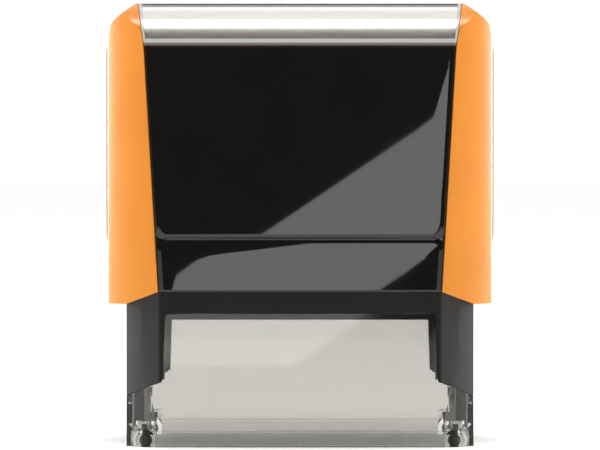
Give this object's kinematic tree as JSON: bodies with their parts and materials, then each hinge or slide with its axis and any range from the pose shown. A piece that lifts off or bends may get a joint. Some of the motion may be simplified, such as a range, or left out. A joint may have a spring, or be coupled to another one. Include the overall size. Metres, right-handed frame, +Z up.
{
  "type": "self inking stamp",
  "caption": "Self-inking office stamp with a sprung cap, a clear foot, a turning die holder, a slide-out ink pad, lock buttons and a clear index window.",
  "frame": {"origin": "on the table, at the middle of the stamp's base", "axes": "+X to the right along the long side of the text plate, -Y the front with the glossy panel, +Z up; the cap is up and the rubber die faces the ink pad"},
  "size_m": [0.0754, 0.0432, 0.0863],
  "materials": {
    "orange_plastic": "satin moulded plastic",
    "black_gloss_plastic": "polished moulded plastic",
    "black_plastic": "fine-textured moulded plastic",
    "grey_plastic": "moulded plastic",
    "blue_plastic": "moulded plastic",
    "clear_plastic": "clear polystyrene",
    "card": "pearl-silver coated card",
    "stamp_rubber": "laser-cut stamp rubber",
    "ink_felt": "ink-soaked felt",
    "feet_rubber": "moulded rubber",
    "spring_steel": "drawn spring wire"
  },
  "bodies": {
    "base": {"lower_frame": "black_plastic", "clear_base": "clear_plastic", "rubber_feet": "feet_rubber", "return_spring": "spring_steel"},
    "cap": {"cap_shell": "orange_plastic", "front_panel": "black_gloss_plastic", "rear_panel": "black_gloss_plastic", "side_plate_left": "grey_plastic", "side_plate_right": "grey_plastic", "yoke": "black_plastic"},
    "index_cover": {"index_window": "clear_plastic", "index_card": "card"},
    "lock_left": {"lock_button_left": "grey_plastic"},
    "lock_right": {"lock_button_right": "grey_plastic"},
    "die_carrier": {"plate_holder": "black_plastic", "mounting_plate": "grey_plastic", "rubber_die": "stamp_rubber"},
    "ink_pad": {"pad_tray": "black_plastic", "pad_felt": "ink_felt", "pad_grip_left": "blue_plastic", "pad_grip_right": "blue_plastic"}
  },
  "joints": [
    {"name": "cap_press", "type": "slide", "parent": "base", "child": "cap", "axis": [0, 0, -1], "range_m": [0, 0.0265], "stiffness_N_per_m": 500, "springref_m": -0.006, "deforming": ["return_spring"]},
    {"name": "die_flip", "type": "hinge", "parent": "cap", "child": "die_carrier", "pos_m": [0, 0, 0.03541], "axis": [1, 0, 0], "range_deg": [0, 180.1]},
    {"name": "pad_slide", "type": "slide", "parent": "base", "child": "ink_pad", "axis": [1, 0, 0], "range_m": [0, 0.075]},
    {"name": "lock_left_press", "type": "slide", "parent": "cap", "child": "lock_left", "axis": [1, 0, 0], "range_m": [0, 0.001], "stiffness_N_per_m": 800, "springref_m": -0.0005},
    {"name": "lock_right_press", "type": "slide", "parent": "cap", "child": "lock_right", "axis": [-1, 0, 0], "range_m": [0, 0.001], "stiffness_N_per_m": 800, "springref_m": -0.0005},
    {"name": "window_lift", "type": "slide", "parent": "cap", "child": "index_cover", "axis": [0, 0, 1], "range_m": [0, 0.012]}
  ],
  "couplings": [
    {"joint": "die_flip", "follows": "cap_press", "rad_per_m": 118.55}
  ]
}
